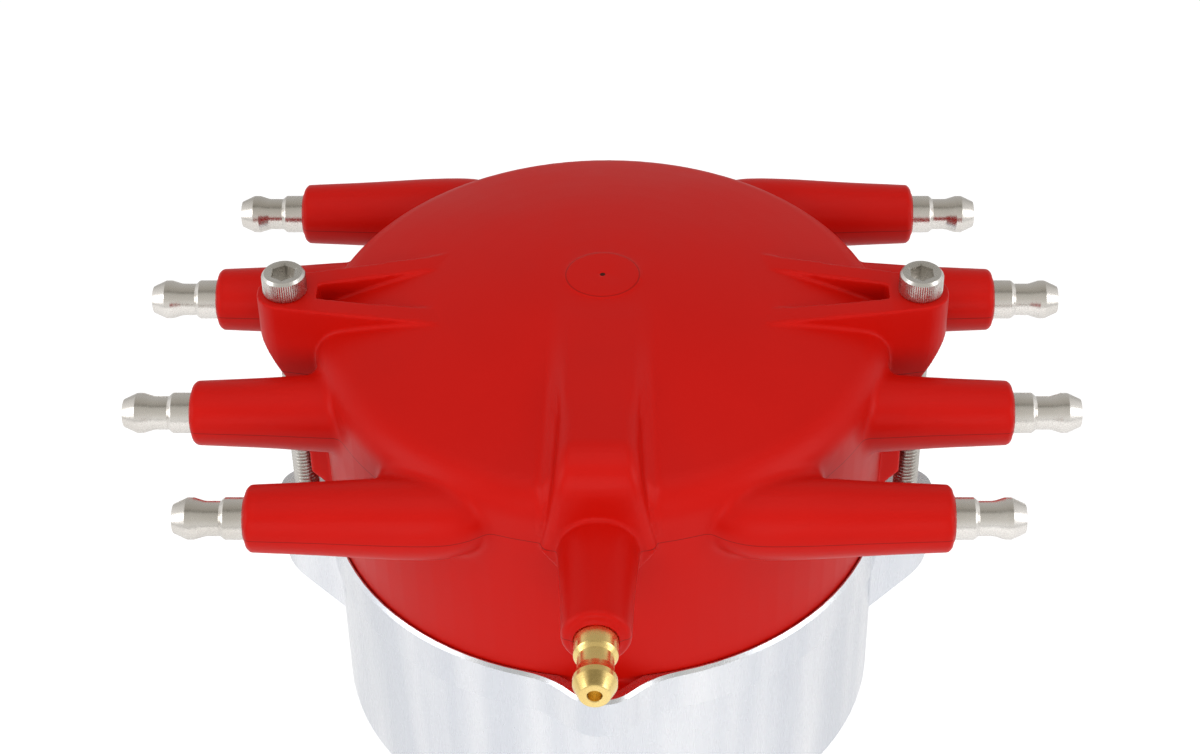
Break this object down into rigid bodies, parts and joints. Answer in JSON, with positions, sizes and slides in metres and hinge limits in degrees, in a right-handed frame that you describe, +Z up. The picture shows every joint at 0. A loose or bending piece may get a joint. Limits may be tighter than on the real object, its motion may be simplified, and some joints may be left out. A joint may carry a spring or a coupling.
{
  "type": "ignition distributor",
  "caption": "Spark ignition distributor with a red crab-style cap, side terminals, rotor, centrifugal advance, magnetic pickup and a gear-driven shaft in a machined housing.",
  "frame": {"origin": "middle of the seat under the flange's gasket, on the shaft's axis", "axes": "+Z up the shaft towards the cap, -Y towards the coil terminal on the front, +X to the right as seen from the front"},
  "size_m": [0.15, 0.135, 0.3071],
  "materials": {
    "cap_plastic": "moulded glass-filled polyester, satin gloss",
    "terminal_metal": "turned, bright",
    "brass": "turned or stamped, bright",
    "lead_metal": "plain, moulded in",
    "carbon": "pressed carbon, matt",
    "spring_steel": "drawn wire or sprung sheet",
    "screw_steel": "stainless, knurled head",
    "machined_aluminium": "turned, bright",
    "bearing_steel": "ground",
    "bushing_bronze": "sintered bronze",
    "seal_rubber": "moulded, matt",
    "gasket_fibre": "pressed fibre sheet",
    "coil_plastic": "moulded, matt",
    "lead_insulation": "cable insulation",
    "plate_steel": "pressed sheet, plated",
    "shaft_steel": "turned and ground",
    "gear_iron": "machined, oiled",
    "rotor_plastic": "moulded, satin"
  },
  "bodies": {
    "housing": {"distributor_cap": "cap_plastic", "plug_terminal_1": "terminal_metal", "plug_terminal_2": "terminal_metal", "plug_terminal_3": "terminal_metal", "plug_terminal_4": "terminal_metal", "plug_terminal_5": "terminal_metal", "plug_terminal_6": "terminal_metal", "plug_terminal_7": "terminal_metal", "plug_terminal_8": "terminal_metal", "coil_terminal": "brass", "coil_lead": "lead_metal", "button_spring": "spring_steel", "cap_screws": "screw_steel", "housing": "machined_aluminium", "bearing_outer_race": "bearing_steel", "bearing_balls": "bearing_steel", "lower_bushing": "bushing_bronze", "stem_seal": "seal_rubber", "flange_gasket": "gasket_fibre", "pickup": "coil_plastic", "pole_piece": "shaft_steel", "pickup_bracket": "plate_steel", "pickup_screws": "screw_steel", "pickup_leads": "lead_insulation", "connector": "coil_plastic", "connector_contacts": "brass"},
    "shaft": {"main_shaft": "shaft_steel", "bearing_inner_race": "bearing_steel", "cam_plate": "plate_steel", "drive_gear": "gear_iron", "roll_pin": "spring_steel", "thrust_washers": "plate_steel", "retaining_ring": "spring_steel"},
    "advance": {"advance_base": "plate_steel", "weight_pins": "plate_steel", "weight_clips": "spring_steel", "reluctor": "shaft_steel", "rotor": "rotor_plastic", "rotor_segment": "brass", "rotor_leaf": "brass", "rotor_screws": "screw_steel", "advance_spring_1": "spring_steel", "advance_spring_2": "spring_steel"},
    "weight_1": {"advance_weight_1": "plate_steel"},
    "weight_2": {"advance_weight_2": "plate_steel"},
    "button": {"carbon_button": "carbon"}
  },
  "joints": [
    {"name": "shaft_spin", "type": "hinge", "parent": "housing", "child": "shaft", "pos_m": [0, 0, 0], "axis": [0, 0, -1], "continuous": true},
    {"name": "advance_turn", "type": "hinge", "parent": "shaft", "child": "advance", "pos_m": [0, 0, 0.051], "axis": [0, 0, -1], "range_deg": [0, 12], "stiffness_Nm_per_rad": 0.3, "springref_deg": -5.73, "deforming": ["advance_spring_1", "advance_spring_2"]},
    {"name": "weight_1_swing", "type": "hinge", "parent": "advance", "child": "weight_1", "pos_m": [0, 0.022, 0.0543], "axis": [0, 0, 1], "range_deg": [0, 24.5]},
    {"name": "weight_2_swing", "type": "hinge", "parent": "advance", "child": "weight_2", "pos_m": [0, -0.022, 0.0543], "axis": [0, 0, 1], "range_deg": [0, 24.5]},
    {"name": "button_slide", "type": "slide", "parent": "housing", "child": "button", "axis": [0, 0, 1], "range_m": [0, 0.0015], "stiffness_N_per_m": 100, "springref_m": -0.003, "deforming": ["button_spring"]}
  ],
  "couplings": [
    {"joint": "weight_1_swing", "follows": "advance_turn", "ratio": 2},
    {"joint": "weight_2_swing", "follows": "advance_turn", "ratio": 2}
  ]
}
